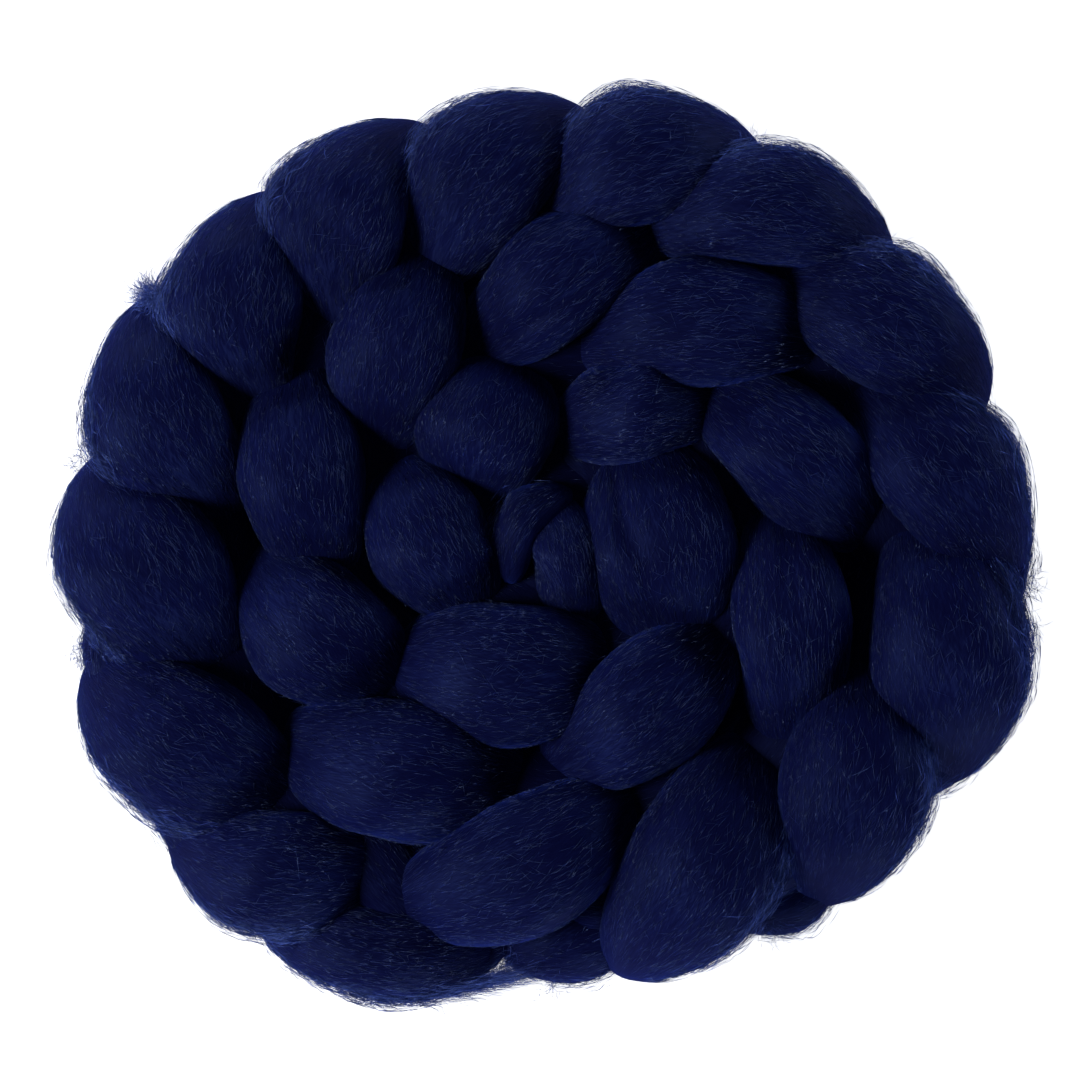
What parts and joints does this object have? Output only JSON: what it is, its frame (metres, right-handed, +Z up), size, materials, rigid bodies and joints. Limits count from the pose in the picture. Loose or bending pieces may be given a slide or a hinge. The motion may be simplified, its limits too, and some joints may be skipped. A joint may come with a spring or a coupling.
{
  "type": "wool roving",
  "caption": "Thick strand of combed wool, chain-plaited into a plump braid and coiled flat to rest on any surface, ready for spinning or felting.",
  "frame": {"origin": "bottom centre of the coil, on the surface that it lies on", "axes": "+Z up, +X along the coil's longest side, +Y away from the outer end of the braid"},
  "size_m": [0.2301, 0.2146, 0.0563],
  "materials": {
    "wool": "satin"
  },
  "bodies": {
    "root": {"chained_roving": "wool"}
  },
  "joints": []
}
